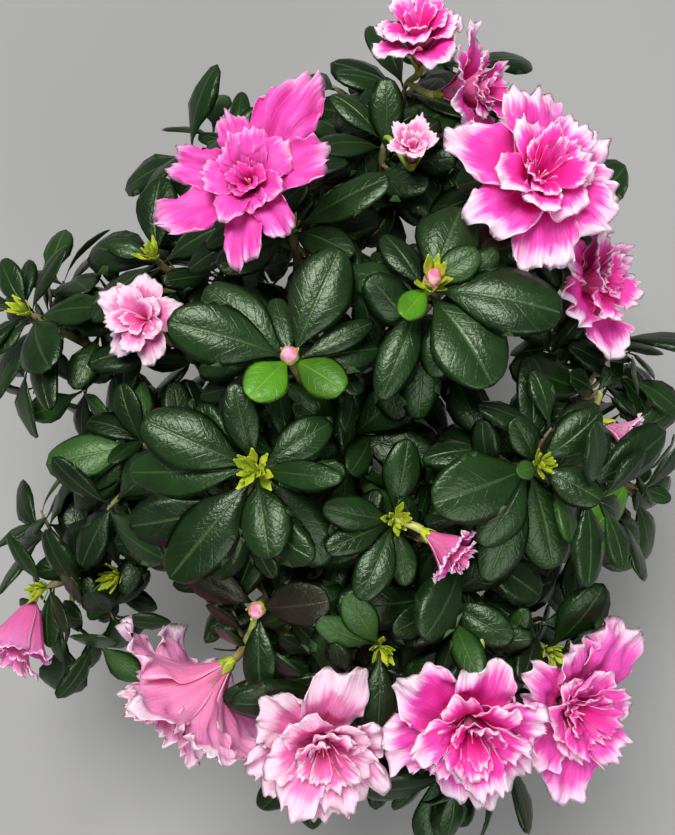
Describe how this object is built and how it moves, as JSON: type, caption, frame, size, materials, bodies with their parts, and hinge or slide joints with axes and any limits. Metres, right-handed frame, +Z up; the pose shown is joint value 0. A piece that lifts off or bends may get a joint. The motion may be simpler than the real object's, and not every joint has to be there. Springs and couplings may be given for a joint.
{
  "type": "potted azalea shrub",
  "caption": "Low bushy evergreen shrub in bloom: rosettes of glossy dark leaves and ruffled double pink flowers with white edges, on a short forked trunk in a plain round pot",
  "frame": {"origin": "centre of the flat underside of the pot, at the ground", "axes": "+Z up, +X to the right and +Y away in the view from the front, where the picture looks down on the crown"},
  "size_m": [0.387, 0.4045, 0.3422],
  "materials": {
    "leaf": "glossy dark green leaves with a lighter midrib and dull paler undersides",
    "petal": "soft satin petals, deep magenta in the heart, pink with darker veins, broad white margins",
    "bark": "matt grey-brown bark with fine lengthwise cracks",
    "soil": "damp dark peat, crumbly and matt",
    "pot": "plain moulded plastic of a terracotta brown, faintly satin"
  },
  "bodies": {
    "root": {"pot": "pot", "soil": "soil", "trunk": "bark", "bough_middle": "bark", "bough_back_left": "bark", "bough_back_right": "bark", "bough_right": "bark", "bough_front": "bark", "bough_left": "bark", "branch_middle_right": "bark", "branch_middle_left": "bark", "branch_back_middle": "bark", "branch_back_left": "bark", "branch_back": "bark", "branch_back_right": "bark", "branch_right_upper": "bark", "branch_right_outer": "bark", "branch_front_right": "bark", "branch_front_left": "bark", "branch_left_far": "bark", "branch_left_low": "bark", "foliage_top_left": "leaf", "foliage_top_right": "leaf", "foliage_left_front": "leaf", "foliage_right_front": "leaf", "foliage_front_inner": "leaf", "foliage_far_left": "leaf", "foliage_left_back": "leaf", "foliage_back_inner_left": "leaf", "foliage_back_inner": "leaf", "foliage_back": "leaf", "foliage_back_right": "leaf", "foliage_back_low": "leaf", "foliage_back_left": "leaf", "foliage_front_middle": "leaf", "foliage_front_left": "leaf", "foliage_front_right": "leaf", "foliage_left_corner": "leaf", "foliage_left_low": "leaf", "foliage_left": "leaf", "foliage_right": "leaf", "foliage_right_twig": "leaf", "foliage_right_low": "leaf", "foliage_right_back": "leaf", "foliage_front_low_left": "leaf", "foliage_front_low_right": "leaf", "bloom_back": "petal", "bloom_back_side": "petal", "bloom_back_left": "petal", "bloom_back_right": "petal", "bloom_right": "petal", "bloom_small_back": "petal", "bloom_left": "petal", "bloom_left_corner": "petal", "bloom_front_left": "petal", "bloom_front": "petal", "bloom_front_right": "petal", "bloom_front_corner": "petal", "bloom_small_front": "petal", "bloom_small_right": "petal"}
  },
  "joints": []
}
